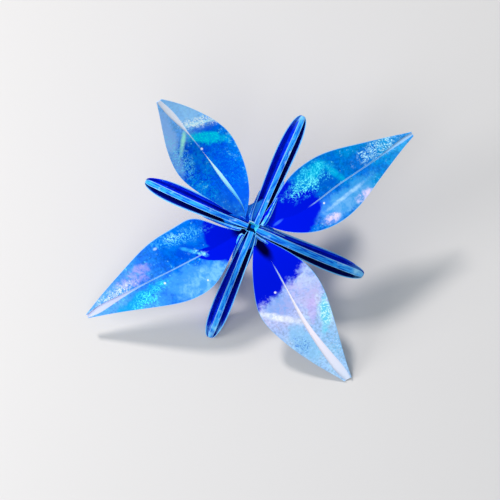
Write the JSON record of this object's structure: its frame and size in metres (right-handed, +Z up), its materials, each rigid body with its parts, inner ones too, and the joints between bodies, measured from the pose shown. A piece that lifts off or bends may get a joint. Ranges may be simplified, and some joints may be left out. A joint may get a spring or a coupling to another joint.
{
  "type": "origami flower",
  "caption": "Origami flower folded from one sheet, with pointed petals, slim ribbed pods between them and a pleated closed point behind, resting face up on a slant.",
  "frame": {"origin": "centre of the flower's outline seen from above, on the surface it rests on", "axes": "+Z up, +X to the viewer's right in the face-on view, +Y away from that viewer, towards the raised side of the bloom"},
  "size_m": [0.128, 0.0988, 0.0711],
  "materials": {
    "printed_paper": "printed in blues with a fine glitter film"
  },
  "bodies": {
    "root": {"folded_flower": "printed_paper"}
  },
  "joints": []
}
